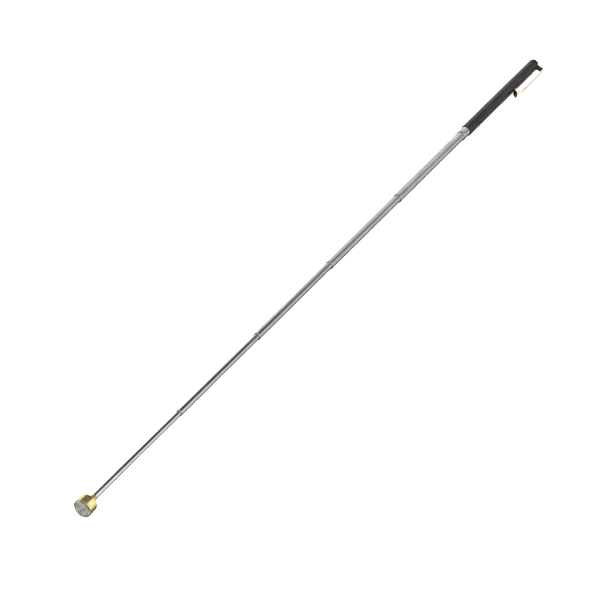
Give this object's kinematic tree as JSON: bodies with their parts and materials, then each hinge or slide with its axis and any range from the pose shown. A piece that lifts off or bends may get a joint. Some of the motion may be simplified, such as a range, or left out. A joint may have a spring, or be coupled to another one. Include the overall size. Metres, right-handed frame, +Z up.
{
  "type": "telescopic magnetic pick-up tool",
  "caption": "Pen-style telescopic pick-up tool: magnet in a brass cup, chromed tubes that slide and spin in each other, black knurled grip and pocket clip.",
  "frame": {"origin": "centre of the magnet's face", "axes": "+X along the tool's axis towards the handle, +Z up for a tool that lies on a table, with the pocket clip low on the -Y side"},
  "size_m": [0.6414, 0.0165, 0.0128],
  "materials": {
    "magnet_nickel": "nickel plate with fine scratches",
    "polished_brass": "turned and polished",
    "chromed_tube": "bright chrome with faint drawing lines",
    "spring_bronze": "dull phosphor bronze",
    "black_grip": "matte black with a fine knurl",
    "plug_steel": "turned",
    "black_cap": "satin black",
    "clip_brass": "bright plated spring strip"
  },
  "bodies": {
    "handle": {"outer_tube": "chromed_tube", "grip_sleeve": "black_grip", "end_plug": "plug_steel", "end_cap": "black_cap", "pocket_clip": "clip_brass"},
    "shoes_5": {"friction_shoe_5_a": "spring_bronze", "friction_shoe_5_b": "spring_bronze"},
    "section_5": {"section_5_tube": "chromed_tube"},
    "shoes_4": {"friction_shoe_4_a": "spring_bronze", "friction_shoe_4_b": "spring_bronze"},
    "section_4": {"section_4_tube": "chromed_tube"},
    "shoes_3": {"friction_shoe_3_a": "spring_bronze", "friction_shoe_3_b": "spring_bronze"},
    "section_3": {"section_3_tube": "chromed_tube"},
    "shoes_2": {"friction_shoe_2_a": "spring_bronze", "friction_shoe_2_b": "spring_bronze"},
    "section_2": {"section_2_tube": "chromed_tube"},
    "shoes_1": {"friction_shoe_1_a": "spring_bronze", "friction_shoe_1_b": "spring_bronze"},
    "section_1": {"section_1_tube": "chromed_tube", "magnet_cup": "polished_brass", "magnet": "magnet_nickel"}
  },
  "joints": [
    {"name": "slide_5", "type": "slide", "parent": "handle", "child": "shoes_5", "axis": [1, 0, 0], "range_m": [0, 0.0985]},
    {"name": "spin_5", "type": "hinge", "parent": "shoes_5", "child": "section_5", "pos_m": [0.5235, 0, 0], "axis": [1, 0, 0], "continuous": true},
    {"name": "slide_4", "type": "slide", "parent": "section_5", "child": "shoes_4", "axis": [1, 0, 0], "range_m": [0, 0.0985]},
    {"name": "spin_4", "type": "hinge", "parent": "shoes_4", "child": "section_4", "pos_m": [0.4235, 0, 0], "axis": [1, 0, 0], "continuous": true},
    {"name": "slide_3", "type": "slide", "parent": "section_4", "child": "shoes_3", "axis": [1, 0, 0], "range_m": [0, 0.0985]},
    {"name": "spin_3", "type": "hinge", "parent": "shoes_3", "child": "section_3", "pos_m": [0.3235, 0, 0], "axis": [1, 0, 0], "continuous": true},
    {"name": "slide_2", "type": "slide", "parent": "section_3", "child": "shoes_2", "axis": [1, 0, 0], "range_m": [0, 0.0985]},
    {"name": "spin_2", "type": "hinge", "parent": "shoes_2", "child": "section_2", "pos_m": [0.2235, 0, 0], "axis": [1, 0, 0], "continuous": true},
    {"name": "slide_1", "type": "slide", "parent": "section_2", "child": "shoes_1", "axis": [1, 0, 0], "range_m": [0, 0.099]},
    {"name": "spin_1", "type": "hinge", "parent": "shoes_1", "child": "section_1", "pos_m": [0.1235, 0, 0], "axis": [1, 0, 0], "continuous": true}
  ]
}
